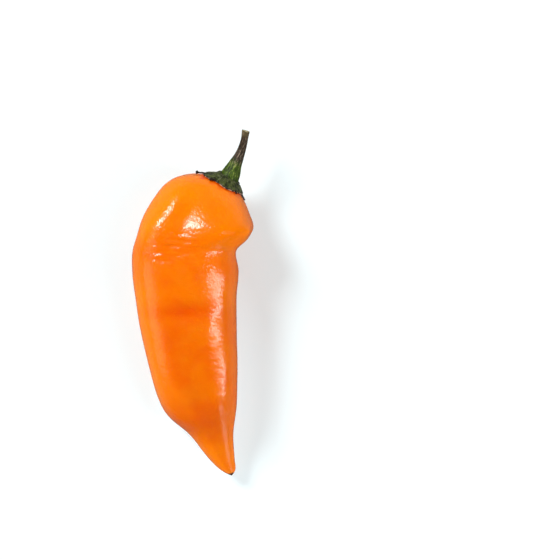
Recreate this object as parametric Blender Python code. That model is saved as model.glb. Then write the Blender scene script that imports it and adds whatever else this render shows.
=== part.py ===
"""A whole orange chilli pepper, as picked, lying on its side: the pod, its green calyx and its cut stem.

Lengths are in metres and +Z is up. The stem end points to +Y and the tip to -Y. The origin is on the
surface that the pepper lies on, under the middle of the whole pepper. The pod rests on a small flat spot.
"""

import math

import bmesh
import bpy
import numpy as np

MM = 0.001

# The pod's outline seen from above, from the pole under the calyx to the tip, as rungs across the pod.
# Each rung has its left end (x, y), its right end (x, y) and the height of its middle, in millimetres.
RUNGS = (
    (11.6, 40.8, 11.6, 40.8, 17.8),
    (7.3, 42.6, 14.7, 38.7, 17.6),
    (3.0, 43.3, 16.3, 35.9, 17.3),
    (-1.8, 43.3, 17.8, 33.0, 17.0),
    (-6.9, 41.5, 18.9, 30.4, 16.7),
    (-11.1, 37.6, 19.7, 28.0, 16.5),
    (-14.5, 32.6, 19.9, 25.5, 16.4),
    (-17.1, 27.2, 18.7, 22.4, 16.7),
    (-18.5, 22.3, 17.1, 20.0, 16.7),
    (-19.8, 18.1, 14.9, 17.7, 16.5),
    (-20.1, 12.6, 15.3, 12.8, 16.2),
    (-19.4, 4.5, 15.0, 5.2, 15.75),
    (-18.2, -4.2, 14.8, -3.5, 15.05),
    (-16.3, -14.2, 15.0, -13.2, 14.35),
    (-14.1, -23.5, 15.1, -22.2, 13.5),
    (-11.5, -32.2, 15.0, -30.8, 12.5),
    (-7.4, -38.9, 14.4, -37.5, 11.4),
    (-2.5, -43.0, 13.8, -41.5, 10.4),
    (1.0, -47.0, 13.6, -45.5, 9.4),
    (4.4, -51.6, 13.9, -50.0, 8.4),
    (7.5, -54.9, 14.2, -53.4, 7.8),
    (10.5, -57.1, 14.1, -56.4, 7.4),
    (12.9, -58.1, 12.9, -58.1, 7.2),
)
DEPTH_SHARE = 0.93  # the pod's height over its width

# The pod's section is a rounded box along its body, boxier on top than below, and an ellipse (2) at its ends.
SQUARENESS = 3.2
UNDER_SQUARENESS = 2.5
SQUARE_FADE = 16 * MM

# The stem end looks up a little: each rung's section leans back by this share of its height, less and less
# between these two distances from the pole.
LEAN = 0.16
LEAN_FADE = (5 * MM, 32 * MM)

# Long furrows between the pod's lobes: (angle round the pod from its right side, half width, depth,
# distances from the pole between which it deepens, and between which it fades out).
FURROWS = (
    (math.radians(105), math.radians(16), 1.6 * MM, (6 * MM, 20 * MM), (28 * MM, 44 * MM)),
    (math.radians(205), math.radians(16), 0.9 * MM, (8 * MM, 24 * MM), (62 * MM, 88 * MM)),
    (math.radians(318), math.radians(18), 0.9 * MM, (8 * MM, 24 * MM), (62 * MM, 88 * MM)),
)

# Dents and swellings: (distance from the pole, angle, half length, half width as an angle, height).
BUMPS = (
    (58.5 * MM, math.radians(90), 3.6 * MM, math.radians(28), -0.9 * MM),
    (90 * MM, math.radians(115), 5.0 * MM, math.radians(36), -0.8 * MM),
    (95 * MM, math.radians(62), 4.0 * MM, math.radians(22), -0.6 * MM),
    (26 * MM, math.radians(-18), 6.0 * MM, math.radians(22), 0.9 * MM),
    (22 * MM, math.radians(133), 6.0 * MM, math.radians(12), -0.7 * MM),
    (20 * MM, math.radians(119), 5.0 * MM, math.radians(14), 0.6 * MM),
    (29 * MM, math.radians(60), 7.0 * MM, math.radians(18), 1.1 * MM),
    (27.5 * MM, math.radians(34), 3.5 * MM, math.radians(15), 0.6 * MM),
    (33.5 * MM, math.radians(34), 3.0 * MM, math.radians(14), -0.9 * MM),
    (41 * MM, math.radians(70), 7.0 * MM, math.radians(40), -0.35 * MM),
    (76 * MM, math.radians(66), 20.0 * MM, math.radians(13), 0.35 * MM),
    (90 * MM, math.radians(63), 6.0 * MM, math.radians(13), 0.7 * MM),
)

POD_AROUND = 64
POD_ALONG = 46

# The calyx: a thin green cap on the pod's shoulder, with a seat and a low collar for the stem.
CALYX_GAP = 0.3 * MM  # clear of the pod's skin
CALYX_RADIUS = 7.3 * MM
CALYX_WAVE = 0.35 * MM
CALYX_TEETH = 5
CALYX_SEAT_THICK = 1.0 * MM
CALYX_RIM_THICK = 0.7 * MM
CALYX_RIB = 0.12 * MM
COLLAR_RISE = 0.4 * MM
COLLAR_WIDTH = 0.5 * MM
LIP_WIDTH = 0.1 * MM
CALYX_AROUND = 60
CALYX_STEPS = 5  # rings from the collar to the rim
SEAT_NORMAL = (0.53, 0.83, 0.16)

# The dried points of the sepals: (angle on the pod, reach past the rim, half width, drift sideways, rise).
SEPALS = (
    (math.radians(176), 2.6 * MM, 0.42 * MM, math.radians(-6), 0.15 * MM),
    (math.radians(112), 0.9 * MM, 0.50 * MM, math.radians(8), 0.3 * MM),
    (math.radians(48), 0.6 * MM, 0.50 * MM, math.radians(-6), 0.2 * MM),
    (math.radians(-2), 2.7 * MM, 0.48 * MM, math.radians(6), 0.1 * MM),
    (math.radians(244), 1.6 * MM, 0.50 * MM, math.radians(10), 0.4 * MM),
    (math.radians(306), 2.2 * MM, 0.48 * MM, math.radians(-8), 0.3 * MM),
)
SEPAL_ROOT = 1.6 * MM  # how far inside the rim a sepal's point starts
SEPAL_ROOT_SHARE = 2.4  # its half width there, over its half width near its end
SEPAL_HALF_THICK = 0.32 * MM
SEPAL_BASE_RISE = 0.4 * MM
SEPAL_KNOB_SHARE = 1.3  # the dried knob at a sepal's end, over its half width
SEPAL_SIDES = 8
SEPAL_STEPS = 8

# The stem: its centre line from the seat to the cut, in millimetres, and its radius along it.
STEM_GAP = 0.25 * MM  # clear of the calyx seat
STEM_LINE = (
    (0.0, 0.0, 0.0),
    (1.85, 4.4, 0.8),
    (3.6, 8.1, 1.4),
    (4.8, 11.8, 2.0),
    (5.4, 15.1, 2.8),
)
STEM_STRAIGHT = 4 * MM  # the stem leaves its seat square, and has joined its line after this length
STEM_FOOT_RADIUS = 3.3 * MM
STEM_TIP_RADIUS = 1.15 * MM
STEM_FLARE = 5.8 * MM
STEM_FLARE_POWER = 1.5
STEM_CUT_SWELL = 0.16 * MM
STEM_CUT_SWELL_LENGTH = 1.5 * MM
STEM_CUT_TILT = math.radians(12)
STEM_CUT_DISH = 0.15 * MM
STEM_RIBS = 5
STEM_RIB_SHARE = 0.05
STEM_RIB_START = 2 * MM
STEM_AROUND = 30
STEM_ALONG = 22

STEP_ALONG = 0.05 * MM  # steps for measuring slopes
STEP_ANGLE = math.radians(0.5)


def unit(v):
    return v / np.linalg.norm(v, axis=-1, keepdims=True)


def bell(x):
    return np.exp(-x * x)


def ramp(x, low, high):
    """A smooth step from 0 at low to 1 at high."""
    share = np.clip((x - low) / (high - low), 0, 1)
    return share * share * (3 - 2 * share)


def turn(angle, centre):
    """The signed turn from centre to angle, between minus pi and pi."""
    return (angle - centre + math.pi) % (2 * math.pi) - math.pi


def spline_through(knots, values):
    """A natural cubic spline through the values at the knots, as a function of the knots' parameter."""
    count = len(knots)
    gap = np.diff(knots)
    matrix = np.eye(count)
    right = np.zeros(values.shape)
    for i in range(1, count - 1):
        matrix[i, i - 1 : i + 2] = gap[i - 1], 2 * (gap[i - 1] + gap[i]), gap[i]
        right[i] = 6 * ((values[i + 1] - values[i]) / gap[i] - (values[i] - values[i - 1]) / gap[i - 1])
    bend = np.linalg.solve(matrix, right)

    def at(t):
        i = np.clip(np.searchsorted(knots, t, side="right") - 1, 0, count - 2)
        a = ((knots[i + 1] - t) / gap[i])[..., None]
        b = 1 - a
        curve = (a**3 - a) * bend[i] + (b**3 - b) * bend[i + 1]
        return a * values[i] + b * values[i + 1] + curve * (gap[i] ** 2)[..., None] / 6

    return at


def rung_spline():
    """The rungs as a smooth function of the distance from the pole along the outline, and its length."""
    rungs = np.array(RUNGS) * MM
    left_steps = np.linalg.norm(np.diff(rungs[:, 0:2], axis=0), axis=1)
    right_steps = np.linalg.norm(np.diff(rungs[:, 2:4], axis=0), axis=1)
    knots = np.concatenate([[0], np.cumsum((left_steps + right_steps) / 2)])
    return spline_through(knots, rungs), knots[-1]


POD_RUNGS, POD_LENGTH = rung_spline()


def relief(along, angle):
    """How far the skin stands out from the plain lofted pod."""
    height = np.zeros(along.shape)
    for centre, half_width, depth, start, end in FURROWS:
        fade = ramp(along, *start) * (1 - ramp(along, *end))
        height = height - depth * fade * bell(turn(angle, centre) / half_width)
    for distance, centre, half_length, half_width, rise in BUMPS:
        height = height + rise * bell((along - distance) / half_length) * bell(turn(angle, centre) / half_width)
    return height


def section(along, angle):
    """The radius of the pod's section, as a share of an ellipse's."""
    body = ramp(along, 0, SQUARE_FADE) * (1 - ramp(along, POD_LENGTH - SQUARE_FADE, POD_LENGTH))
    boxy = np.where(np.sin(angle) > 0, SQUARENESS, UNDER_SQUARENESS)
    power = 2 + (boxy - 2) * body
    return (np.abs(np.cos(angle)) ** power + np.abs(np.sin(angle)) ** power) ** (-1 / power)


def pod_point(along, angle):
    """The pod's skin at a distance along its outline and an angle round it, 0 at its right and 90 on top."""
    along, angle = np.broadcast_arrays(np.asarray(along, float), np.asarray(angle, float))
    rung = POD_RUNGS(along)
    left, right, mid_height = rung[..., 0:2], rung[..., 2:4], rung[..., 4]
    half = (right - left) / 2
    half_width = np.linalg.norm(half, axis=-1)
    half_depth = DEPTH_SHARE * half_width
    reach = section(along, angle) + relief(along, angle) / np.maximum(half_width, 1 * MM)
    across, up = np.cos(angle) * reach, np.sin(angle) * reach
    tipward = np.stack([half[..., 1], -half[..., 0]], axis=-1) / np.maximum(half_width, STEP_ALONG)[..., None]
    lean = LEAN * (1 - ramp(along, *LEAN_FADE)) * half_depth * up
    spot = (left + right) / 2 + half * across[..., None] + tipward * lean[..., None]
    height = np.maximum(mid_height + half_depth * up, 0)
    return np.concatenate([spot, height[..., None]], axis=-1)


def pod_normal(along, angle):
    ahead = pod_point(along + STEP_ALONG, angle) - pod_point(along - STEP_ALONG, angle)
    round_it = pod_point(along, angle + STEP_ANGLE) - pod_point(along, angle - STEP_ANGLE)
    return unit(np.cross(round_it, ahead))


def above_pod(along, angle, height):
    return pod_point(along, angle) + pod_normal(along, angle) * np.asarray(height)[..., None]


def mesh_object(name, points, faces, material=None):
    mesh = bpy.data.meshes.new(name)
    mesh.from_pydata([tuple(map(float, point)) for point in points], [], faces)
    shape = bmesh.new()
    shape.from_mesh(mesh)
    bmesh.ops.recalc_face_normals(shape, faces=shape.faces)
    shape.to_mesh(mesh)
    shape.free()
    mesh.shade_smooth()
    if material:
        mesh.materials.append(material)
    made = bpy.data.objects.new(name, mesh)
    bpy.context.scene.collection.objects.link(made)
    return made


def plain_material(name, colour, roughness):
    material = bpy.data.materials.new(name)
    material.use_nodes = True
    shader = material.node_tree.nodes["Principled BSDF"]
    shader.inputs["Base Color"].default_value = (*colour, 1)
    shader.inputs["Roughness"].default_value = roughness
    shader.inputs["Metallic"].default_value = 0
    return material


def capped_rings(rings, start, end):
    """Points and faces of a closed body: rings of equal count, each end closed by a fan to one point."""
    count, around = len(rings), len(rings[0])
    points = np.concatenate([np.concatenate(rings), [start, end]])
    start_index, end_index = count * around, count * around + 1
    last = (count - 1) * around
    faces = []
    for k in range(around):
        nxt = (k + 1) % around
        faces.append((start_index, nxt, k))
        faces.append((end_index, last + k, last + nxt))
        for ring in range(0, last, around):
            faces.append((ring + k, ring + nxt, ring + nxt + around, ring + k + around))
    return points, faces


def full_turn(count):
    return np.linspace(0, 2 * math.pi, count, endpoint=False)


def make_pod():
    angles = full_turn(POD_AROUND)
    stations = POD_LENGTH * np.linspace(0, 1, POD_ALONG + 1)[1:-1]
    rings = [pod_point(station, angles) for station in stations]
    points, faces = capped_rings(rings, pod_point(0.0, 0.0), pod_point(POD_LENGTH, 0.0))
    return mesh_object("pod", points, faces, plain_material("pod", (0.95, 0.22, 0.0), 0.25))


def seat_frame():
    """The middle of the stem's seat, and its right, up and outward directions."""
    outward = unit(np.array(SEAT_NORMAL))
    right = unit(np.array([outward[1], -outward[0], 0.0]))
    up = np.cross(right, outward)
    centre = pod_point(0.0, 0.0) + outward * (CALYX_GAP + CALYX_SEAT_THICK)
    return centre, right, up, outward


def rim_reach(angle):
    return CALYX_RADIUS + CALYX_WAVE * np.cos(CALYX_TEETH * angle)


def calyx_cap(material):
    """The cap as one closed body: underside rings from the pole to the rim, then over the top to the seat."""
    angles = full_turn(CALYX_AROUND)
    centre, right, up, outward = seat_frame()
    round_stem = np.cos(angles)[:, None] * right + np.sin(angles)[:, None] * up
    shares = np.linspace(0, 1, CALYX_STEPS + 1)[1:]
    rim = rim_reach(angles)
    under = [above_pod(rim * share, angles, np.full(angles.shape, CALYX_GAP)) for share in shares]
    seat_radius = STEM_FOOT_RADIUS + STEM_GAP
    collar = seat_radius + COLLAR_WIDTH
    over = []
    for share in shares:
        thick = CALYX_SEAT_THICK + (CALYX_RIM_THICK - CALYX_SEAT_THICK) * share
        rib = CALYX_RIB * np.cos(CALYX_TEETH * angles) * math.sin(math.pi * share)
        over.append(above_pod(collar + (rim - collar) * share, angles, CALYX_GAP + thick + rib))
    collar_ring = centre + round_stem * collar + outward * COLLAR_RISE / 2
    lip_ring = centre + round_stem * (seat_radius + LIP_WIDTH) + outward * COLLAR_RISE
    seat_ring = centre + round_stem * seat_radius
    rings = under + over[::-1] + [collar_ring, lip_ring, seat_ring]
    points, faces = capped_rings(rings, above_pod(STEP_ALONG, 0.0, CALYX_GAP), centre)
    return mesh_object("calyx", points, faces, material)


def sepal_point(start_angle, reach, half_width, drift, rise):
    """A dried point that runs on from the rim over the pod, wide at its root, with a knob at its end."""
    rim = float(rim_reach(np.array(start_angle)))
    shares = np.linspace(0, 1, SEPAL_STEPS + 1)
    along = rim - SEPAL_ROOT + (reach + SEPAL_ROOT) * shares
    middles = above_pod(along, start_angle + drift * shares, CALYX_GAP + SEPAL_BASE_RISE + rise * shares**2)
    turns = full_turn(SEPAL_SIDES)
    skin_up = pod_normal(rim, start_angle)
    rings = []
    for step, share in enumerate(shares):
        ahead = unit(middles[min(step + 1, SEPAL_STEPS)] - middles[max(step - 1, 0)])
        side = unit(np.cross(ahead, skin_up))
        lift = np.cross(side, ahead)
        width = half_width * (1 + (SEPAL_ROOT_SHARE - 1) * (1 - share) ** 2)
        if step == SEPAL_STEPS - 1:
            width = half_width * SEPAL_KNOB_SHARE
        wide = np.cos(turns)[:, None] * side * width
        thick = np.sin(turns)[:, None] * lift * max(SEPAL_HALF_THICK, min(width, half_width) * share)
        rings.append(middles[step] + wide + thick)
    return capped_rings(rings, middles[0], middles[-1])


def make_calyx():
    """The cap and the sepals' points, joined into one body."""
    cap = calyx_cap(plain_material("calyx", (0.06, 0.10, 0.03), 0.6))
    points = bpy.data.collections.new("sepal_points")
    bpy.context.scene.collection.children.link(points)
    for number, sepal in enumerate(SEPALS):
        made = mesh_object(f"sepal_point_{number}", *sepal_point(*sepal))
        bpy.context.scene.collection.objects.unlink(made)
        points.objects.link(made)
    join = cap.modifiers.new("join", "BOOLEAN")
    join.operation = "UNION"
    join.operand_type = "COLLECTION"
    join.collection = points
    graph = bpy.context.evaluated_depsgraph_get()
    cap.data = bpy.data.meshes.new_from_object(cap.evaluated_get(graph))
    cap.modifiers.clear()
    for made in list(points.objects):
        bpy.data.objects.remove(made)
    bpy.data.collections.remove(points)
    return cap


def stem_line():
    """The stem's centre line as a function of the distance along it, and its length."""
    points = np.array(STEM_LINE) * MM
    knots = np.concatenate([[0], np.cumsum(np.linalg.norm(np.diff(points, axis=0), axis=1))])
    return spline_through(knots, points), knots[-1]


def stem_radius(along, length):
    flare = np.exp(-((along / STEM_FLARE) ** STEM_FLARE_POWER))
    swell = STEM_CUT_SWELL * bell((along - length) / STEM_CUT_SWELL_LENGTH)
    return STEM_TIP_RADIUS + (STEM_FOOT_RADIUS - STEM_TIP_RADIUS) * flare + swell


def make_stem():
    line, length = stem_line()
    centre, _, _, outward = seat_frame()
    foot = centre + outward * STEM_GAP
    turns = full_turn(STEM_AROUND)
    rings = []
    for along in np.linspace(0, length, STEM_ALONG + 1):
        ahead = unit(line(along + STEP_ALONG) - line(along - STEP_ALONG))
        ahead = unit(outward + (ahead - outward) * ramp(along, 0, STEM_STRAIGHT))
        side = unit(np.cross(ahead, (0.0, 0.0, 1.0)))
        lift = np.cross(side, ahead)
        rib = 1 + STEM_RIB_SHARE * ramp(along, 0, STEM_RIB_START) * np.cos(STEM_RIBS * turns)
        across = np.cos(turns) * stem_radius(along, length) * rib
        over = np.sin(turns) * stem_radius(along, length) * rib
        rings.append(foot + line(along) + across[:, None] * side + over[:, None] * lift)
    rings[-1] -= (across * math.tan(STEM_CUT_TILT))[:, None] * ahead
    cut_middle = rings[-1].mean(axis=0) - ahead * STEM_CUT_DISH
    points, faces = capped_rings(rings, foot, cut_middle)
    return mesh_object("stem", points, faces, plain_material("stem", (0.05, 0.06, 0.02), 0.6))


def main():
    for old in list(bpy.data.objects):
        bpy.data.objects.remove(old)
    make_pod()
    make_calyx()
    make_stem()


main()
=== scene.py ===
"""The looks of a whole orange chilli pepper lying on its side: its glossy pod, green calyx and cut stem.

Lengths are in metres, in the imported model's frame: the stem end points to +Y and +Z is up. Each fine piece
follows the same rungs, rim and stem line as the plain solid that it stands for.
"""

import math

import bpy
import numpy as np
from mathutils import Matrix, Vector


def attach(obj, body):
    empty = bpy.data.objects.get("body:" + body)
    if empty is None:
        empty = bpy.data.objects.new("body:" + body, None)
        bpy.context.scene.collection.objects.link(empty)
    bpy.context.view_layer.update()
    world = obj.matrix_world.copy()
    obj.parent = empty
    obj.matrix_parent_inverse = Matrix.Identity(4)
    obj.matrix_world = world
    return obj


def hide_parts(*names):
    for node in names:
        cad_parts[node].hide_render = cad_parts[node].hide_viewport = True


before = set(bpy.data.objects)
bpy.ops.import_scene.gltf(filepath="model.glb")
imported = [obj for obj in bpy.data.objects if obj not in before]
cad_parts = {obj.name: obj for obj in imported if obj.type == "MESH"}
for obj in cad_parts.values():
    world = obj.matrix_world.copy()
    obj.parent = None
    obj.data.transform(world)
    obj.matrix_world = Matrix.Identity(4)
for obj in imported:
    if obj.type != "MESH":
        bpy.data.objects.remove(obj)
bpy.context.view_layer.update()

MM = 0.001

# The pod's outline seen from above, from the pole under the calyx to the tip, as rungs across the pod.
# Each rung has its left end (x, y), its right end (x, y) and the height of its middle, in millimetres.
RUNGS = (
    (11.6, 40.8, 11.6, 40.8, 17.8),
    (7.3, 42.6, 14.7, 38.7, 17.6),
    (3.0, 43.3, 16.3, 35.9, 17.3),
    (-1.8, 43.3, 17.8, 33.0, 17.0),
    (-6.9, 41.5, 18.9, 30.4, 16.7),
    (-11.1, 37.6, 19.7, 28.0, 16.5),
    (-14.5, 32.6, 19.9, 25.5, 16.4),
    (-17.1, 27.2, 18.7, 22.4, 16.7),
    (-18.5, 22.3, 17.1, 20.0, 16.7),
    (-19.8, 18.1, 14.9, 17.7, 16.5),
    (-20.1, 12.6, 15.3, 12.8, 16.2),
    (-19.4, 4.5, 15.0, 5.2, 15.75),
    (-18.2, -4.2, 14.8, -3.5, 15.05),
    (-16.3, -14.2, 15.0, -13.2, 14.35),
    (-14.1, -23.5, 15.1, -22.2, 13.5),
    (-11.5, -32.2, 15.0, -30.8, 12.5),
    (-7.4, -38.9, 14.4, -37.5, 11.4),
    (-2.5, -43.0, 13.8, -41.5, 10.4),
    (1.0, -47.0, 13.6, -45.5, 9.4),
    (4.4, -51.6, 13.9, -50.0, 8.4),
    (7.5, -54.9, 14.2, -53.4, 7.8),
    (10.5, -57.1, 14.1, -56.4, 7.4),
    (12.9, -58.1, 12.9, -58.1, 7.2),
)
DEPTH_SHARE = 0.93  # the pod's height over its width
SQUARENESS = 3.2  # of the section's upper half: 2 is an ellipse, and more is boxier
UNDER_SQUARENESS = 2.5
SQUARE_FADE = 16 * MM
LEAN = 0.16
LEAN_FADE = (5 * MM, 32 * MM)

# Long furrows between the pod's lobes: (angle round the pod from its right side, half width, depth,
# distances from the pole between which it deepens, and between which it fades out).
FURROWS = (
    (math.radians(105), math.radians(16), 1.6 * MM, (6 * MM, 20 * MM), (28 * MM, 44 * MM)),
    (math.radians(205), math.radians(16), 0.9 * MM, (8 * MM, 24 * MM), (62 * MM, 88 * MM)),
    (math.radians(318), math.radians(18), 0.9 * MM, (8 * MM, 24 * MM), (62 * MM, 88 * MM)),
)

# Dents and swellings, the plain solid's own: (distance from the pole, angle, half length, half width as an
# angle, height).
BUMPS = (
    (58.5 * MM, math.radians(90), 3.6 * MM, math.radians(28), -0.9 * MM),
    (90 * MM, math.radians(115), 5.0 * MM, math.radians(36), -0.8 * MM),
    (95 * MM, math.radians(62), 4.0 * MM, math.radians(22), -0.6 * MM),
    (26 * MM, math.radians(-18), 6.0 * MM, math.radians(22), 0.9 * MM),
    (22 * MM, math.radians(133), 6.0 * MM, math.radians(12), -0.7 * MM),
    (20 * MM, math.radians(119), 5.0 * MM, math.radians(14), 0.6 * MM),
    (29 * MM, math.radians(60), 7.0 * MM, math.radians(18), 1.1 * MM),
    (27.5 * MM, math.radians(34), 3.5 * MM, math.radians(15), 0.6 * MM),
    (33.5 * MM, math.radians(34), 3.0 * MM, math.radians(14), -0.9 * MM),
    (41 * MM, math.radians(70), 7.0 * MM, math.radians(40), -0.35 * MM),
    (76 * MM, math.radians(66), 20.0 * MM, math.radians(13), 0.35 * MM),
    (90 * MM, math.radians(63), 6.0 * MM, math.radians(13), 0.7 * MM),
)

POD_AROUND = 360
POD_ALONG = 380
POD_INSET = 0.14 * MM  # keeps the uneven skin inside the plain solid's size
# Soft unevenness of the skin: (wavelength, height), each from its own seeded waves.
POD_WAVES = ((18 * MM, 0.05 * MM), (5 * MM, 0.014 * MM), (1.4 * MM, 0.006 * MM))
# Fine wrinkles across the shoulder: (distance from the pole, half length, angle, half width, height).
CRINKLES = (
    (36 * MM, 4.5 * MM, math.radians(98), math.radians(24), 0.14 * MM),
    (60 * MM, 22 * MM, math.radians(100), math.radians(45), 0.01 * MM),
    (80 * MM, 15 * MM, math.radians(60), math.radians(13), 0.007 * MM),
)
CRINKLE_SEED = 5
CRINKLE_WAVELENGTH = 2.0 * MM
CRINKLE_STRETCH = (3.5, 1, 3.5)  # how much longer the wrinkles are across the pod than along it
SKIN_START_FADE = 10 * MM  # the skin's unevenness fades out over this length at the pole
SKIN_END_FADE = 8 * MM
WAVES = 36  # waves added up for one kind of unevenness

# Marks on the pod's skin. Spots are (distance from the pole, half length, angle, half width, strength).
# Darker, redder skin in the pod's dents: painted shade.
PAINTED_SHADE_SPOTS = (
    (57.5 * MM, 2.6 * MM, math.radians(92), math.radians(34), 1.0),
    (96 * MM, 6 * MM, math.radians(105), math.radians(50), 0.5),
)
MATT_SPOTS = (
    (31 * MM, 6.5 * MM, math.radians(40), math.radians(28), 1.0),
    (70 * MM, 6 * MM, math.radians(55), math.radians(20), 0.42),
)
# A painted highlight: lighter, yellower skin under the long highlight.
PAINTED_HIGHLIGHT_SPOTS = ((66 * MM, 28 * MM, math.radians(57), math.radians(10), 0.45),)
# Bands round the pod: (distance from the pole, half length).
YELLOW_BAND = (51 * MM, 5 * MM)
YELLOW_BAND_SHARE = 0.2
NECKS = ((39 * MM, 9 * MM), (97 * MM, 7 * MM))  # bands where the left flank gets less of the painted light
NECK_SHARE = 0.8
# The shoulder's top and the flanks are painted lighter and yellower where light falls on them: painted light.
SHOULDER_PAINTED_LIGHT = 0.65
SHOULDER_FADE = (18 * MM, 52 * MM)
SHOULDER_SIDES = 0.6  # how much of the shoulder's painted light its sides and underside get, with its top as 1
FLANK_PAINTED_LIGHT = 0.35
FLANK_TILT = (0.08, 0.45)  # the skin's tilt where the flanks' painted light begins and where it is full, 1 being upright
LEFT_FLANK_PAINTED_LIGHT = 0.6
LEFT_TILT = (0.005, 0.1)
TIP_YELLOW = 0.55
TIP_FADE = (98 * MM, 112 * MM)
DRIED_TIP = (1.2 * MM, 2.0 * MM)
RIM_SHADE = 0.75  # how strong the painted shadow is that the calyx's rim casts on the skin, darker and redder
RIM_SHADE_WIDTH = 0.9 * MM
RIM_SHADE_WAVE = (3 * MM, 6, 0.5 * MM)  # wavelength, seed and height
RIM_SHADE_LEAST = 0.3 * MM
SMOOTH_ANGLE = math.radians(52)  # the finer skin under the long highlight
SMOOTH_HALF_WIDTH = math.radians(22)
SMOOTH_START = (38 * MM, 50 * MM)

# The pod's colours.
ORANGE = (0.65, 0.094, 0.0)
LIGHT_ORANGE = (0.67, 0.127, 0.0)
# a lighter, yellower orange, used partly as painted light and a painted highlight
LIT_AND_YELLOW_ORANGE = (0.85, 0.19, 0.0)
# the darker orange of the painted shade in the dents
SHADED_ORANGE = (0.65, 0.074, 0.0)
SPECKLE_ORANGE = (0.74, 0.160, 0.0)
SPECKLE_SHARE = 0.2
# the darker red of the painted shadow along the calyx's rim
RIM_SHADOW_RED = (0.60, 0.030, 0.0)
DRIED_BROWN = (0.07, 0.025, 0.006)
PATCH_SIZE = 9 * MM
SPECKLE_SIZE = 0.6 * MM
GRAIN_SIZE = 0.9 * MM
GRAIN_DEPTH = 0.12 * MM
GRAIN_ON_RED = 0.65  # the grain's strength on the least yellow skin
GRAIN_ON_SMOOTH = 0.5
GLOSS = 0.4
MATT_GLOSS = 0.04
GLEAM_SIZE = 2.5 * MM

# The calyx: a thin cap on the pod's shoulder, with a seat and a low collar for the stem.
CALYX_GAP = 0.3 * MM
CALYX_RADIUS = 7.3 * MM
CALYX_WAVE = 0.35 * MM
CALYX_TEETH = 5
CALYX_SEAT_THICK = 1.0 * MM
CALYX_RIM_THICK = 0.55 * MM
CALYX_RIB = 0.12 * MM
CALYX_RIM_GAP = 0.08 * MM
CALYX_RAGGED = 0.10 * MM
CALYX_THIN_SIDE = (0.6, math.radians(155), math.radians(45))  # how much thinner, at which angle, half width
CALYX_ROUGH = 0.05 * MM
COLLAR_RISE = 0.4 * MM
COLLAR_WIDTH = 0.5 * MM
CALYX_AROUND = 420
CALYX_STEPS = 60
CALYX_LIP = 0.1 * MM
SEAT_NORMAL = (0.53, 0.83, 0.16)

# The calyx's colours, its veins' and its edge's.
CALYX_DARK = (0.010, 0.015, 0.003)
CALYX_GREEN = (0.070, 0.086, 0.020)
VEIN_GREEN = (0.15, 0.16, 0.09)
VEIN_SHARE = 0.6
EDGE_BROWN = (0.016, 0.010, 0.006)
EDGE_TAN = (0.42, 0.25, 0.14)

# The dried points of the sepals: (angle on the pod, reach past the rim, half width, drift sideways, rise,
# half width of the knob at the end over the point's).
SEPALS = (
    (math.radians(176), 2.6 * MM, 0.42 * MM, math.radians(-6), 0.15 * MM, 1.3),
    (math.radians(112), 0.9 * MM, 0.50 * MM, math.radians(8), 0.3 * MM, 0.9),
    (math.radians(48), 0.6 * MM, 0.50 * MM, math.radians(-6), 0.2 * MM, 0.8),
    (math.radians(-2), 2.7 * MM, 0.48 * MM, math.radians(6), 0.1 * MM, 0.5),
    (math.radians(244), 1.6 * MM, 0.50 * MM, math.radians(10), 0.4 * MM, 1.1),
    (math.radians(306), 2.2 * MM, 0.48 * MM, math.radians(-8), 0.3 * MM, 0.6),
)
SEPAL_ROOT = 1.6 * MM
SEPAL_ROOT_SHARE = 2.4
SEPAL_HALF_THICK = 0.25 * MM
SEPAL_BASE_RISE = 0.3 * MM
SEPAL_ROUGH = 0.04 * MM
SEPAL_SIDES = 28
SEPAL_STEPS = 60

# The stem: its centre line from the seat to the cut, in millimetres, and its radius along it.
STEM_GAP = 0.25 * MM
STEM_SINK = 0.15 * MM  # how far the fine stem's foot reaches into the calyx seat
STEM_LINE = (
    (0.0, 0.0, 0.0),
    (1.85, 4.4, 0.8),
    (3.6, 8.1, 1.4),
    (4.8, 11.8, 2.0),
    (5.4, 15.1, 2.8),
)
STEM_STRAIGHT = 4 * MM
STEM_FOOT_RADIUS = 3.3 * MM
STEM_TIP_RADIUS = 1.15 * MM
STEM_FLARE = 5.8 * MM
STEM_FLARE_POWER = 1.5
STEM_CUT_SWELL = 0.16 * MM
STEM_CUT_SWELL_LENGTH = 1.5 * MM
STEM_CUT_TILT = math.radians(12)
STEM_CUT_DISH = 0.15 * MM
STEM_RIBS = 5
STEM_RIB_SHARE = 0.05
STEM_RIB_START = 2 * MM
STEM_WRINKLE = 0.05 * MM
STEM_NOISE_RADIUS = 1.3 * MM  # the circle on which the wrinkles and streaks are drawn
STEM_WRINKLE_STRETCH = 0.12  # how little the wrinkles change along the stem
CUT_FIBRE = 0.05 * MM
STEM_AROUND = 160
STEM_ALONG = 260
CUT_RINGS = 10

# The stem's colours, from the green foot to the brown top, and its cut's.
STEM_GREEN = (0.038, 0.075, 0.003)
STEM_PALE_GREEN = (0.17, 0.22, 0.035)
STEM_BROWN = (0.030, 0.017, 0.009)
STEM_PALE_BROWN = (0.22, 0.165, 0.11)
STEM_BLACK = (0.012, 0.010, 0.005)
STEM_OLIVE = (0.11, 0.085, 0.035)
PITH_DARK = (0.26, 0.22, 0.10)
PITH_PALE = (0.50, 0.44, 0.27)
BROWN_START = (4.8 * MM, 7.2 * MM)
BROWN_RAGGED = 9 * MM
OLIVE_START = (13.5 * MM, 15.5 * MM)

STEP_ALONG = 0.05 * MM  # steps for measuring slopes
STEP_ANGLE = math.radians(0.5)

# The camera looks straight down. The photograph's frame is this wide at the height of the pod's outline.
FRAME_WIDTH = 186.7 * MM
CAMERA_OVER = (29.17 * MM, 7.83 * MM, 16 * MM)
CAMERA_DISTANCE = 0.8
CAMERA_CLIP = (0.01, 10)
SENSOR = 36.0

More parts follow.
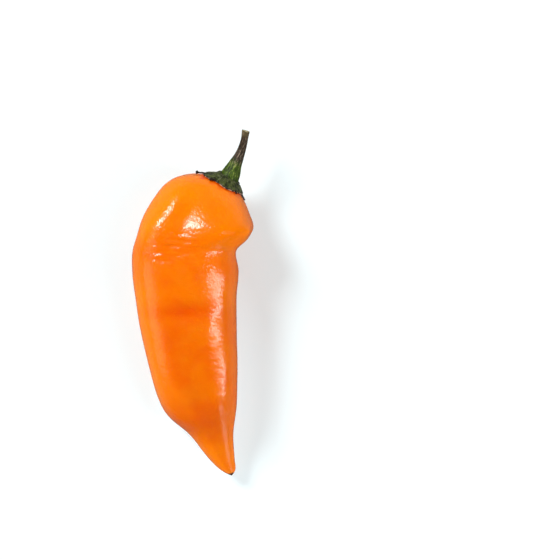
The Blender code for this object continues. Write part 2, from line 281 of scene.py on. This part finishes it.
FLOOR_HALF = 3.0
FLOOR_COLOUR = (0.41, 0.485, 0.50)
FLOOR_MIRRORED = (0.20, 0.20, 0.20)  # the table's colour as the glossy skin mirrors it
FLOOR_BOUNCE = (0.90, 0.90, 0.90)  # and as it lights the skin from below
FLOOR_GLOW = (0.42, 0.42, 0.42)  # only the camera sees it: the table is pure white where no shadow falls
POOL_GLOW = (0.59, 0.67, 0.695)  # a painted pool of light beside the pod's lower half, which only the camera sees: the shadow is paler there
POOL_CENTRE = (6 * MM, -36 * MM)
POOL_REACH = (22 * MM, 54 * MM)
WORLD_FALL = (0.3, 0.9, 0.6, 0.12)  # sine of the elevation from, to, and the light's strength at each
LIGHT_TARGET = (0, 0, 16 * MM)
# Soft boxes: (name, direction from the target, distance, width and height, power).
LIGHTS = (
    ("key", (-0.48, 0.47, 0.74), 1.2, (0.38, 0.38), 15),
    ("right_strip", (0.67, -0.24, 0.70), 0.9, (0.11, 0.84), 4.3),
    ("left_panel", (-0.78, -0.22, 0.58), 0.9, (0.56, 0.62), 1.4),
    ("tip_panel", (0.57, -0.78, 0.25), 0.9, (0.40, 0.40), 1.1),
)


def unit(v):
    return v / np.linalg.norm(v, axis=-1, keepdims=True)


def bell(x):
    return np.exp(-x * x)


def ramp(x, low, high):
    """A smooth step from 0 at low to 1 at high."""
    share = np.clip((x - low) / (high - low), 0, 1)
    return share * share * (3 - 2 * share)


def turn(angle, centre):
    """The signed turn from centre to angle, between minus pi and pi."""
    return (angle - centre + math.pi) % (2 * math.pi) - math.pi


def full_turn(count):
    return np.linspace(0, 2 * math.pi, count, endpoint=False)


def waves(points, wavelength, seed, stretch=(1, 1, 1)):
    """A smooth random height for each point, about between -2 and 2, with bumps of about the wavelength."""
    draw = np.random.default_rng(seed)
    directions = unit(draw.normal(size=(WAVES, 3))) * draw.uniform(0.7, 1.4, size=(WAVES, 1))
    phases = draw.uniform(0, 2 * math.pi, size=WAVES)
    numbers = directions / np.array(stretch) * 2 * math.pi / wavelength
    total = np.zeros(points.shape[:-1])
    for number, phase in zip(numbers, phases):
        total = total + np.cos(points @ number + phase)
    return total / math.sqrt(WAVES / 2)


def spline_through(knots, values):
    """A natural cubic spline through the values at the knots, as a function of the knots' parameter."""
    count = len(knots)
    gap = np.diff(knots)
    matrix = np.eye(count)
    right = np.zeros(values.shape)
    for i in range(1, count - 1):
        matrix[i, i - 1 : i + 2] = gap[i - 1], 2 * (gap[i - 1] + gap[i]), gap[i]
        right[i] = 6 * ((values[i + 1] - values[i]) / gap[i] - (values[i] - values[i - 1]) / gap[i - 1])
    bend = np.linalg.solve(matrix, right)

    def at(t):
        i = np.clip(np.searchsorted(knots, t, side="right") - 1, 0, count - 2)
        a = ((knots[i + 1] - t) / gap[i])[..., None]
        b = 1 - a
        curve = (a**3 - a) * bend[i] + (b**3 - b) * bend[i + 1]
        return a * values[i] + b * values[i + 1] + curve * (gap[i] ** 2)[..., None] / 6

    return at


def rung_spline():
    """The rungs as a smooth function of the distance from the pole along the outline, and its length."""
    rungs = np.array(RUNGS) * MM
    left_steps = np.linalg.norm(np.diff(rungs[:, 0:2], axis=0), axis=1)
    right_steps = np.linalg.norm(np.diff(rungs[:, 2:4], axis=0), axis=1)
    knots = np.concatenate([[0], np.cumsum((left_steps + right_steps) / 2)])
    return spline_through(knots, rungs), knots[-1]


POD_RUNGS, POD_LENGTH = rung_spline()


def relief(along, angle):
    """How far the skin stands out from the plain lofted pod."""
    height = np.zeros(along.shape)
    for centre, half_width, depth, start, end in FURROWS:
        fade = ramp(along, *start) * (1 - ramp(along, *end))
        height = height - depth * fade * bell(turn(angle, centre) / half_width)
    for distance, centre, half_length, half_width, rise in BUMPS:
        reach = bell((along - distance) / half_length) * bell(turn(angle, centre) / half_width)
        height = height + rise * reach
    return height


def section(along, angle):
    """The radius of the pod's section, as a share of an ellipse's."""
    body = ramp(along, 0, SQUARE_FADE) * (1 - ramp(along, POD_LENGTH - SQUARE_FADE, POD_LENGTH))
    boxy = np.where(np.sin(angle) > 0, SQUARENESS, UNDER_SQUARENESS)
    power = 2 + (boxy - 2) * body
    return (np.abs(np.cos(angle)) ** power + np.abs(np.sin(angle)) ** power) ** (-1 / power)


def pod_point(along, angle):
    """The pod's skin at a distance along its outline and an angle round it, 0 at its right and 90 on top."""
    along, angle = np.broadcast_arrays(np.asarray(along, float), np.asarray(angle, float))
    rung = POD_RUNGS(along)
    left, right, mid_height = rung[..., 0:2], rung[..., 2:4], rung[..., 4]
    half = (right - left) / 2
    half_width = np.linalg.norm(half, axis=-1)
    half_depth = DEPTH_SHARE * half_width
    reach = section(along, angle) + relief(along, angle) / np.maximum(half_width, 1 * MM)
    across, up = np.cos(angle) * reach, np.sin(angle) * reach
    tipward = np.stack([half[..., 1], -half[..., 0]], axis=-1) / np.maximum(half_width, STEP_ALONG)[..., None]
    lean = LEAN * (1 - ramp(along, *LEAN_FADE)) * half_depth * up
    spot = (left + right) / 2 + half * across[..., None] + tipward * lean[..., None]
    height = np.maximum(mid_height + half_depth * up, 0)
    return np.concatenate([spot, height[..., None]], axis=-1)


def pod_normal(along, angle):
    ahead = pod_point(along + STEP_ALONG, angle) - pod_point(along - STEP_ALONG, angle)
    round_it = pod_point(along, angle + STEP_ANGLE) - pod_point(along, angle - STEP_ANGLE)
    return unit(np.cross(round_it, ahead))


def above_pod(along, angle, height):
    return pod_point(along, angle) + pod_normal(along, angle) * np.asarray(height)[..., None]


def ringed_body(name, rings, start, end, marks=None):
    """A closed body from rings of points, with a fan to one point at each end and its marks as attributes.

    rings is an array of rings, points and coordinates. marks has an array of one value for each ring's point,
    and the values at the start and the end point, under each attribute's name.
    """
    count, around = rings.shape[:2]
    points = np.concatenate([rings.reshape(-1, 3), [start, end]])
    spot = np.arange(around)
    after = (spot + 1) % around
    base = (np.arange(count - 1) * around)[:, None]
    sides = [base + spot, base + after, base + after + around, base + spot + around]
    quads = np.stack(sides, axis=-1).reshape(-1, 4)
    last = (count - 1) * around
    start_fan = np.stack([np.full(around, count * around), after, spot], axis=-1)
    end_fan = np.stack([last + spot, last + after, np.full(around, count * around + 1)], axis=-1)
    fans = np.concatenate([start_fan, end_fan])
    a, b, c, d = points[quads].transpose(1, 0, 2)
    middle = points.mean(axis=0)
    volume = np.einsum("ij,ij->i", a + b + c + d - 4 * middle, np.cross(c - a, d - b)).sum()
    if volume < 0:
        quads = quads[:, ::-1]
        fans = fans[:, ::-1]
    corners = np.concatenate([quads.ravel(), fans.ravel()])
    sizes = np.concatenate([np.full(len(quads), 4), np.full(len(fans), 3)])
    mesh = bpy.data.meshes.new(name)
    mesh.vertices.add(len(points))
    mesh.vertices.foreach_set("co", points.ravel())
    mesh.loops.add(len(corners))
    mesh.loops.foreach_set("vertex_index", corners.astype(np.int32))
    mesh.polygons.add(len(sizes))
    mesh.polygons.foreach_set("loop_start", np.concatenate([[0], np.cumsum(sizes)[:-1]]).astype(np.int32))
    mesh.update(calc_edges=True)
    mesh.shade_smooth()
    for mark, (values, at_start, at_end) in (marks or {}).items():
        data = np.concatenate([np.asarray(values, float).ravel(), [at_start, at_end]])
        mesh.attributes.new(mark, "FLOAT", "POINT").data.foreach_set("value", data)
    made = bpy.data.objects.new(name, mesh)
    bpy.context.scene.collection.objects.link(made)
    return made


def dress(piece, material, slot, *nodes):
    """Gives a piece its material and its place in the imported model."""
    piece.data.materials.append(material)
    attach(piece, "root")
    if nodes:
        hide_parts(*nodes)
    return piece


class Paint:
    """A material's node tree with short ways to add nodes."""

    def __init__(self, name):
        self.material = bpy.data.materials.new(name)
        self.material.use_nodes = True
        self.tree = self.material.node_tree
        self.shader = self.tree.nodes["Principled BSDF"]
        self.place = self.tree.nodes.new("ShaderNodeTexCoord").outputs["Object"]

    def link(self, source, target):
        if isinstance(source, (int, float)):
            target.default_value = source
        elif isinstance(source, tuple):
            target.default_value = (*source, 1)[: len(target.default_value)]
        else:
            self.tree.links.new(source, target)

    def noise(self, wavelength, detail=2.0, roughness=0.5, place=None, stretch=None):
        where = place or self.place
        if stretch:
            mapping = self.tree.nodes.new("ShaderNodeMapping")
            mapping.inputs["Scale"].default_value = stretch
            self.link(where, mapping.inputs["Vector"])
            where = mapping.outputs["Vector"]
        node = self.tree.nodes.new("ShaderNodeTexNoise")
        self.link(where, node.inputs["Vector"])
        node.inputs["Scale"].default_value = 1 / wavelength
        node.inputs["Detail"].default_value = detail
        node.inputs["Roughness"].default_value = roughness
        return node.outputs["Fac"]

    def mark(self, name):
        node = self.tree.nodes.new("ShaderNodeAttribute")
        node.attribute_name = name
        return node.outputs["Fac"]

    def spread(self, value, low, high, to_low=0.0, to_high=1.0):
        node = self.tree.nodes.new("ShaderNodeMapRange")
        node.interpolation_type = "SMOOTHSTEP"
        self.link(value, node.inputs["Value"])
        for socket, number in zip(("From Min", "From Max", "To Min", "To Max"), (low, high, to_low, to_high)):
            node.inputs[socket].default_value = number
        return node.outputs["Result"]

    def sums(self, operation, one, other):
        node = self.tree.nodes.new("ShaderNodeMath")
        node.operation = operation
        self.link(one, node.inputs[0])
        self.link(other, node.inputs[1])
        return node.outputs["Value"]

    def mix(self, share, one, other):
        node = self.tree.nodes.new("ShaderNodeMix")
        node.data_type = "RGBA"
        self.link(share, node.inputs["Factor"])
        self.link(one, node.inputs["A"])
        self.link(other, node.inputs["B"])
        return node.outputs["Result"]

    def bump(self, height, depth, strength=1.0, normal=None):
        node = self.tree.nodes.new("ShaderNodeBump")
        node.inputs["Distance"].default_value = depth
        self.link(strength, node.inputs["Strength"])
        self.link(height, node.inputs["Height"])
        if normal:
            self.link(normal, node.inputs["Normal"])
        return node.outputs["Normal"]

    def set(self, **sockets):
        for name, source in sockets.items():
            self.link(source, self.shader.inputs[name.replace("_", " ")])


def pod_skin():
    paint = Paint("pod_skin")
    patches = paint.spread(paint.noise(PATCH_SIZE, detail=3), 0.36, 0.64)
    body = paint.mix(patches, ORANGE, LIGHT_ORANGE)
    # yellower and lighter where light falls: partly painted light and a painted highlight
    colour = paint.mix(paint.mark("yellow_and_painted_light"), body, LIT_AND_YELLOW_ORANGE)
    # painted shade in the dents
    colour = paint.mix(paint.mark("painted_dent_shade"), colour, SHADED_ORANGE)
    speckle = paint.spread(paint.noise(SPECKLE_SIZE, detail=1), 0.55, 0.75)
    colour = paint.mix(paint.sums("MULTIPLY", speckle, SPECKLE_SHARE), colour, SPECKLE_ORANGE)
    # painted shadow along the calyx's rim
    colour = paint.mix(paint.mark("rim_painted_shadow"), colour, RIM_SHADOW_RED)
    colour = paint.mix(paint.mark("dried"), colour, DRIED_BROWN)
    grain = paint.spread(paint.mark("yellow_and_painted_light"), 0.0, 1.0, GRAIN_ON_RED, 1.0)
    finer = paint.spread(paint.mark("smooth"), 0.0, 1.0, 1.0, GRAIN_ON_SMOOTH)
    grain = paint.sums("MULTIPLY", grain, finer)
    normal = paint.bump(paint.noise(GRAIN_SIZE, detail=1, roughness=0.5), GRAIN_DEPTH, grain)
    roughness = paint.spread(paint.noise(GLEAM_SIZE, detail=3), 0.3, 0.7, 0.17, 0.24)
    gloss = paint.spread(paint.mark("matt"), 0.1, 0.7, GLOSS, MATT_GLOSS)
    paint.set(Base_Color=colour, Roughness=roughness, Normal=normal, Specular_IOR_Level=gloss)
    paint.set(Subsurface_Weight=0.12, Subsurface_Scale=1.5 * MM, Subsurface_Radius=(1.0, 0.25, 0.0))
    return paint.material


def calyx_green():
    paint = Paint("calyx_green")
    patches = paint.spread(paint.noise(1.5 * MM, detail=5, roughness=0.7), 0.42, 0.6)
    colour = paint.mix(patches, CALYX_DARK, CALYX_GREEN)
    veins = paint.spread(paint.noise(0.4 * MM, detail=3, place=polar_place(paint, 0.25)), 0.52, 0.66)
    colour = paint.mix(paint.sums("MULTIPLY", veins, VEIN_SHARE), colour, VEIN_GREEN)
    colour = paint.mix(paint.mark("dark_edge"), colour, EDGE_BROWN)
    tan = paint.spread(paint.noise(1.1 * MM, detail=2), 0.42, 0.55)
    colour = paint.mix(paint.sums("MULTIPLY", paint.mark("pale_edge"), tan), colour, EDGE_TAN)
    normal = paint.bump(paint.noise(0.6 * MM, detail=4, roughness=0.65), 0.2 * MM)
    paint.set(Base_Color=colour, Roughness=0.45, Normal=normal, Specular_IOR_Level=0.2)
    return paint.material


def polar_place(paint, share):
    """A place for noise that changes quickly round a piece and slowly along it, as streaks do."""
    join = paint.tree.nodes.new("ShaderNodeCombineXYZ")
    paint.link(paint.mark("around_x"), join.inputs["X"])
    paint.link(paint.mark("around_y"), join.inputs["Y"])
    paint.link(paint.sums("MULTIPLY", paint.mark("along"), share), join.inputs["Z"])
    return join.outputs["Vector"]


def stem_bark():
    paint = Paint("stem_bark")
    along = paint.mark("along")
    streaks = paint.noise(0.3 * MM, detail=4, roughness=0.7, place=polar_place(paint, 0.16))
    light = paint.spread(streaks, 0.53, 0.63)
    dark = paint.spread(streaks, 0.50, 0.40)
    green = paint.mix(light, STEM_GREEN, STEM_PALE_GREEN)
    brown = paint.mix(light, STEM_BROWN, STEM_PALE_BROWN)
    offset = paint.sums("MULTIPLY", paint.sums("SUBTRACT", streaks, 0.5), BROWN_RAGGED)
    colour = paint.mix(paint.spread(paint.sums("ADD", along, offset), *BROWN_START), green, brown)
    colour = paint.mix(paint.sums("MULTIPLY", dark, 0.85), colour, STEM_BLACK)
    olive = paint.sums("MULTIPLY", paint.spread(along, *OLIVE_START), 0.6)
    colour = paint.mix(olive, colour, STEM_OLIVE)
    pith = paint.mix(paint.noise(0.5 * MM, detail=3), PITH_DARK, PITH_PALE)
    colour = paint.mix(paint.mark("cut"), colour, pith)
    normal = paint.bump(streaks, 0.2 * MM)
    paint.set(Base_Color=colour, Roughness=0.4, Normal=normal, Specular_IOR_Level=0.13)
    return paint.material


def spots(along, angle, rows):
    """How strong the soft spots are at each place, added up."""
    total = np.zeros(along.shape)
    for distance, half_length, centre, half_width, strength in rows:
        reach = bell((along - distance) / half_length) * bell(turn(angle, centre) / half_width)
        total = total + strength * reach
    return total


def yellow_and_painted_light_mark(along, angle, tilt):
    """How yellow the skin is, partly as painted light: on the lit shoulder and flanks, a painted highlight, a
    band and the tip.
    """
    top = ramp(np.sin(angle), 0, 0.8)
    shoulder = (1 - ramp(along, *SHOULDER_FADE)) * (SHOULDER_SIDES + (1 - SHOULDER_SIDES) * top)
    left = ramp(-np.cos(angle), 0, 0.5)
    neck = sum(bell((along - distance) / half_length) for distance, half_length in NECKS) * left
    flank = FLANK_PAINTED_LIGHT * ramp(tilt, *FLANK_TILT) + LEFT_FLANK_PAINTED_LIGHT * left * ramp(tilt, *LEFT_TILT)
    band = YELLOW_BAND_SHARE * bell((along - YELLOW_BAND[0]) / YELLOW_BAND[1])
    tip = TIP_YELLOW * ramp(along, *TIP_FADE)
    patches = band + spots(along, angle, PAINTED_HIGHLIGHT_SPOTS) + tip
    return np.minimum(SHOULDER_PAINTED_LIGHT * shoulder + flank * (1 - NECK_SHARE * neck) + patches, 1)


def rim_painted_shadow_mark(along, angle, base):
    """The painted shadow along the calyx's rim: how red the skin is painted there, in a band of uneven width.
    """
    wavelength, seed, height = RIM_SHADE_WAVE
    width = np.maximum(RIM_SHADE_WIDTH + height * waves(base, wavelength, seed), RIM_SHADE_LEAST)
    return RIM_SHADE * bell(np.maximum(along - rim_reach(angle), 0) / width)


def make_pod():
    angles = full_turn(POD_AROUND)
    share = np.linspace(0, 1, POD_ALONG + 1)[1:-1]
    along, angle = np.meshgrid(POD_LENGTH * share, angles, indexing="ij")
    base = pod_point(along, angle)
    rise = np.full(along.shape, -POD_INSET)
    for seed, (wavelength, height) in enumerate(POD_WAVES):
        rise = rise + height * waves(base, wavelength, seed)
    wrinkle = waves(base, CRINKLE_WAVELENGTH, CRINKLE_SEED, CRINKLE_STRETCH)
    rise = rise + spots(along, angle, CRINKLES) * wrinkle
    fade = ramp(along, 0, SKIN_START_FADE) * (1 - ramp(along, POD_LENGTH - SKIN_END_FADE, POD_LENGTH))
    normals = pod_normal(along, angle)
    points = base + normals * (rise * fade)[..., None]
    points[..., 2] = np.maximum(points[..., 2], 0)
    tip_point = pod_point(POD_LENGTH, 0.0)
    dried = 1 - ramp(np.linalg.norm(base - tip_point, axis=-1), *DRIED_TIP)
    smooth = bell(turn(angle, SMOOTH_ANGLE) / SMOOTH_HALF_WIDTH) * ramp(along, *SMOOTH_START)
    marks = {
        "dried": (dried, 0, 1),
        "smooth": (smooth, 0, 0),
        # partly painted light on the shoulder and flanks, and a painted highlight
        "yellow_and_painted_light": (yellow_and_painted_light_mark(along, angle, 1 - normals[..., 2]), 1, 1),
        # painted shade in the dents
        "painted_dent_shade": (spots(along, angle, PAINTED_SHADE_SPOTS), 0, 0),
        # painted shadow along the calyx's rim
        "rim_painted_shadow": (rim_painted_shadow_mark(along, angle, base), 1, 0),
        "matt": (spots(along, angle, MATT_SPOTS), 0, 0),
    }
    pod = ringed_body("pod_fine", points, pod_point(0.0, 0.0), tip_point, marks)
    return dress(pod, pod_skin(), "pod_skin", "pod")


def seat_frame():
    """The middle of the stem's seat, and its right, up and outward directions."""
    outward = unit(np.array(SEAT_NORMAL))
    right = unit(np.array([outward[1], -outward[0], 0.0]))
    up = np.cross(right, outward)
    centre = pod_point(0.0, 0.0) + outward * (CALYX_GAP + CALYX_SEAT_THICK)
    return centre, right, up, outward


def rim_reach(angle):
    return CALYX_RADIUS + CALYX_WAVE * np.cos(CALYX_TEETH * angle)


def round_marks(turns, ring_count, radius):
    """Marks for a place on a circle, the same on each ring, so that noise has no seam round them."""
    shape = (ring_count, len(turns))
    return {
        "around_x": (np.broadcast_to(np.cos(turns) * radius, shape), 0, 0),
        "around_y": (np.broadcast_to(np.sin(turns) * radius, shape), 0, 0),
    }


def make_calyx(material):
    """The cap: underside rings from the pole to the rim, round the rim, and back over the top to the seat."""
    angles = full_turn(CALYX_AROUND)
    centre, right, up, outward = seat_frame()
    round_stem = np.cos(angles)[:, None] * right + np.sin(angles)[:, None] * up
    round_rim = np.stack([np.cos(angles), np.sin(angles), 0 * angles], axis=-1) * CALYX_RADIUS
    ragged = waves(round_rim, 2.2 * MM, 11) + 0.6 * waves(round_rim, 0.9 * MM, 12)
    rim = rim_reach(angles) + CALYX_RAGGED * ragged
    shares = np.linspace(0, 1, CALYX_STEPS + 1)[1:]
    under = [above_pod(rim * share, angles, np.full(angles.shape, CALYX_RIM_GAP)) for share in shares[::4]]
    seat_radius = STEM_FOOT_RADIUS + STEM_GAP
    collar = seat_radius + COLLAR_WIDTH
    thin_side = 1 - CALYX_THIN_SIDE[0] * bell(turn(angles, CALYX_THIN_SIDE[1]) / CALYX_THIN_SIDE[2])
    over, dark_edges, pale_edges, reaches = [], [], [], []
    for share in shares:
        along = collar + (rim - collar) * share
        thick = CALYX_SEAT_THICK + (CALYX_RIM_THICK - CALYX_SEAT_THICK) * share
        thick = thick * (1 - share**12 * 0.6) * (1 - (1 - thin_side) * ramp(share, 0, 0.5))
        rib = CALYX_RIB * np.cos(CALYX_TEETH * angles) * math.sin(math.pi * share)
        height = CALYX_RIM_GAP + (CALYX_GAP - CALYX_RIM_GAP) * (1 - share) + thick + rib
        skin = above_pod(along, angles, height)
        rough = waves(skin, 1.6 * MM, 13) * CALYX_ROUGH
        over.append(above_pod(along, angles, height + rough))
        reaches.append(along)
        dark_edges.append(np.full(angles.shape, float(ramp(share, 0.84, 0.93))))
        pale_edges.append(np.full(angles.shape, float(ramp(share, 0.93, 0.97))))
    collar_ring = centre + round_stem * collar + outward * COLLAR_RISE / 2
    lip_ring = centre + round_stem * (seat_radius + CALYX_LIP) + outward * COLLAR_RISE
    seat_ring = centre + round_stem * seat_radius
    rings = np.array(under + over[::-1] + [collar_ring, lip_ring, seat_ring])
    ones, zeros = [np.ones(angles.shape)], [np.zeros(angles.shape)]
    marks = {
        "dark_edge": (np.array(ones * len(under) + dark_edges[::-1] + zeros * 3), 1, 0),
        "pale_edge": (np.array(zeros * len(under) + pale_edges[::-1] + zeros * 3), 0, 0),
        "along": (np.array(zeros * len(under) + reaches[::-1] + zeros * 3), 0, 0),
        **round_marks(angles, len(rings), CALYX_RADIUS / 2),
    }
    calyx = ringed_body("calyx_fine", rings, above_pod(STEP_ALONG, 0.0, CALYX_RIM_GAP), centre, marks)
    return dress(calyx, material, "calyx_green", "calyx")


def make_sepal(number, material, start_angle, reach, half_width, drift, rise, knob_share):
    """A dried point that runs on from the rim over the pod, wide at its root, with a knob at its end."""
    rim = float(rim_reach(np.array(start_angle)))
    shares = np.linspace(0, 1, SEPAL_STEPS + 1)
    along = rim - SEPAL_ROOT + (reach + SEPAL_ROOT) * shares
    middles = above_pod(along, start_angle + drift * shares, SEPAL_BASE_RISE + rise * shares**2)
    turns = full_turn(SEPAL_SIDES)
    skin_up = pod_normal(rim, start_angle)
    aheads = unit(np.gradient(middles, axis=0))
    sides = unit(np.cross(aheads, skin_up))
    lifts = np.cross(sides, aheads)
    width = half_width * (0.62 + (SEPAL_ROOT_SHARE - 0.62) * (1 - shares) ** 2)
    knob = knob_share * half_width * np.sqrt(np.clip(1 - ((shares - 0.9) / 0.1) ** 2, 0, 1))
    width = np.maximum(width * (1 - 0.9 * ramp(shares, 0.75, 1.0)), knob)
    thick = np.maximum(np.minimum(width, SEPAL_HALF_THICK), knob)
    rings = middles[:, None] + (
        np.cos(turns)[None, :, None] * (sides * width[:, None])[:, None]
        + np.sin(turns)[None, :, None] * (lifts * thick[:, None])[:, None]
    )
    rings = rings[:-1]
    rough = waves(rings, 0.7 * MM, 20 + number)[..., None] * SEPAL_ROUGH
    rings = rings + (rings - middles[:-1, None]) / half_width * rough
    edge = np.broadcast_to(ramp(shares[:-1], 0.1, 0.5)[:, None], rings.shape[:2])
    sepal = ringed_body(f"sepal_point_{number}", rings, middles[0], middles[-1], {"dark_edge": (edge, 0, 1)})
    return dress(sepal, material, "calyx_green")


def stem_line():
    """The stem's centre line as a function of the distance along it, and its length."""
    points = np.array(STEM_LINE) * MM
    knots = np.concatenate([[0], np.cumsum(np.linalg.norm(np.diff(points, axis=0), axis=1))])
    return spline_through(knots, points), knots[-1]


def stem_radius(along, length):
    flare = np.exp(-((np.maximum(along, 0) / STEM_FLARE) ** STEM_FLARE_POWER))
    swell = STEM_CUT_SWELL * bell((along - length) / STEM_CUT_SWELL_LENGTH)
    return STEM_TIP_RADIUS + (STEM_FOOT_RADIUS - STEM_TIP_RADIUS) * flare + swell


def make_stem():
    line, length = stem_line()
    centre, _, _, outward = seat_frame()
    foot = centre + outward * STEM_GAP
    turns = full_turn(STEM_AROUND)
    circle = np.stack([np.cos(turns), np.sin(turns), 0 * turns], axis=-1)
    rings, alongs = [], []
    start = -(STEM_GAP + STEM_SINK)
    for along in np.linspace(start, length, STEM_ALONG + 1):
        at = max(along, 0.0)
        ahead = unit(line(np.array(at + STEP_ALONG)) - line(np.array(at - STEP_ALONG)))
        ahead = unit(outward + (ahead - outward) * ramp(at, 0, STEM_STRAIGHT))
        side = unit(np.cross(ahead, (0.0, 0.0, 1.0)))
        lift = np.cross(side, ahead)
        rib = 1 + STEM_RIB_SHARE * ramp(at, 0, STEM_RIB_START) * np.cos(STEM_RIBS * turns)
        place = circle * STEM_NOISE_RADIUS + np.array([0, 0, along * STEM_WRINKLE_STRETCH])
        wrinkle = STEM_WRINKLE * (waves(place, 1.5 * MM, 31) + 0.7 * waves(place, 0.7 * MM, 32))
        radius = stem_radius(at, length) * rib + wrinkle * ramp(at, 0, STEM_RIB_START)
        middle = foot + line(np.array(at)) + outward * min(along, 0.0)
        sideways = (np.cos(turns) * radius)[:, None] * side
        upwards = (np.sin(turns) * radius)[:, None] * lift
        rings.append(middle + sideways + upwards)
        alongs.append(np.full(turns.shape, along))
    across = np.cos(turns) * radius * math.tan(STEM_CUT_TILT)
    rings[-1] = rings[-1] - across[:, None] * ahead
    cut_middle = rings[-1].mean(axis=0) - ahead * STEM_CUT_DISH
    cuts = [np.zeros(turns.shape)] * len(rings)
    for ring in range(1, CUT_RINGS):
        share = ring / CUT_RINGS
        spot = rings[STEM_ALONG] * (1 - share) + cut_middle * share
        fibre = waves(spot, 0.6 * MM, 33)[:, None] * CUT_FIBRE
        rings.append(spot + ahead * fibre)
        alongs.append(np.full(turns.shape, length))
        cuts.append(np.ones(turns.shape) * float(ramp(share, 0.05, 0.2)))
    rings = np.array(rings)
    marks = {
        "along": (np.array(alongs), 0, length),
        "cut": (np.array(cuts), 0, 1),
        **round_marks(turns, len(rings), STEM_NOISE_RADIUS),
    }
    stem = ringed_body("stem_fine", rings, foot - outward * (STEM_GAP + STEM_SINK), cut_middle, marks)
    return dress(stem, stem_bark(), "stem_bark", "stem")


def make_floor():
    """A white table, larger than any view shows, with a painted pool of light beside the pod. It looks bright
    but reflects less into the skin.
    """
    mesh = bpy.data.meshes.new("floor")
    corners = [(x * FLOOR_HALF, y * FLOOR_HALF, 0) for x, y in ((-1, -1), (1, -1), (1, 1), (-1, 1))]
    mesh.from_pydata(corners, [], [(0, 1, 2, 3)])
    floor = bpy.data.objects.new("floor", mesh)
    bpy.context.scene.collection.objects.link(floor)
    paint = Paint("floor")
    path = paint.tree.nodes.new("ShaderNodeLightPath").outputs
    colour = paint.mix(path["Is Glossy Ray"], FLOOR_COLOUR, FLOOR_MIRRORED)
    colour = paint.mix(path["Is Diffuse Ray"], colour, FLOOR_BOUNCE)
    paint.set(Base_Color=colour, Roughness=0.9, Specular_IOR_Level=0.0)
    # A painted pool of light beside the pod's lower half, seen only by the camera.
    pool = paint.tree.nodes.new("ShaderNodeTexGradient")
    pool.gradient_type = "SPHERICAL"
    where = paint.tree.nodes.new("ShaderNodeMapping")
    x, y = POOL_CENTRE
    half_x, half_y = POOL_REACH
    where.inputs["Location"].default_value = (-x / half_x, -y / half_y, 0)
    where.inputs["Scale"].default_value = (1 / half_x, 1 / half_y, 1)
    paint.link(paint.place, where.inputs["Vector"])
    paint.link(where.outputs["Vector"], pool.inputs["Vector"])
    glow = paint.mix(pool.outputs["Fac"], FLOOR_GLOW, POOL_GLOW)
    paint.set(Emission_Color=glow, Emission_Strength=path["Is Camera Ray"])
    mesh.materials.append(paint.material)


def make_camera():
    data = bpy.data.cameras.new("camera")
    data.sensor_width = SENSOR
    data.lens = SENSOR * CAMERA_DISTANCE / FRAME_WIDTH
    data.clip_start, data.clip_end = CAMERA_CLIP
    camera = bpy.data.objects.new("camera", data)
    camera.location = Vector(CAMERA_OVER) + Vector((0, 0, CAMERA_DISTANCE))
    bpy.context.scene.collection.objects.link(camera)
    bpy.context.scene.camera = camera


def area_light(name, towards, distance, size, power):
    """A soft box in the direction towards, seen from the target, which it faces."""
    data = bpy.data.lights.new(name, "AREA")
    data.shape = "RECTANGLE"
    data.size, data.size_y = size
    data.energy = power
    light = bpy.data.objects.new(name, data)
    way = Vector(towards).normalized()
    light.location = Vector(LIGHT_TARGET) + way * distance
    light.rotation_mode = "QUATERNION"
    light.rotation_quaternion = way.to_track_quat("Z", "Y")
    bpy.context.scene.collection.objects.link(light)


def light_scene():
    world = bpy.data.worlds.new("world")
    world.use_nodes = True
    tree = world.node_tree
    place = tree.nodes.new("ShaderNodeTexCoord")
    parts = tree.nodes.new("ShaderNodeSeparateXYZ")
    fall = tree.nodes.new("ShaderNodeMapRange")
    fall.interpolation_type = "SMOOTHSTEP"
    for socket, number in zip(("From Min", "From Max", "To Min", "To Max"), WORLD_FALL):
        fall.inputs[socket].default_value = number
    background = tree.nodes["Background"]
    background.inputs["Color"].default_value = (1, 1, 1, 1)
    tree.links.new(place.outputs["Generated"], parts.inputs["Vector"])
    tree.links.new(parts.outputs["Z"], fall.inputs["Value"])
    tree.links.new(fall.outputs["Result"], background.inputs["Strength"])
    world.cycles_visibility.glossy = False
    bpy.context.scene.world = world
    for light in LIGHTS:
        area_light(*light)
    bpy.context.scene.view_settings.view_transform = "Standard"


def main():
    make_camera()
    make_floor()
    light_scene()
    make_pod()
    green = calyx_green()
    make_calyx(green)
    for number, sepal in enumerate(SEPALS):
        make_sepal(number, green, *sepal)
    make_stem()


main()
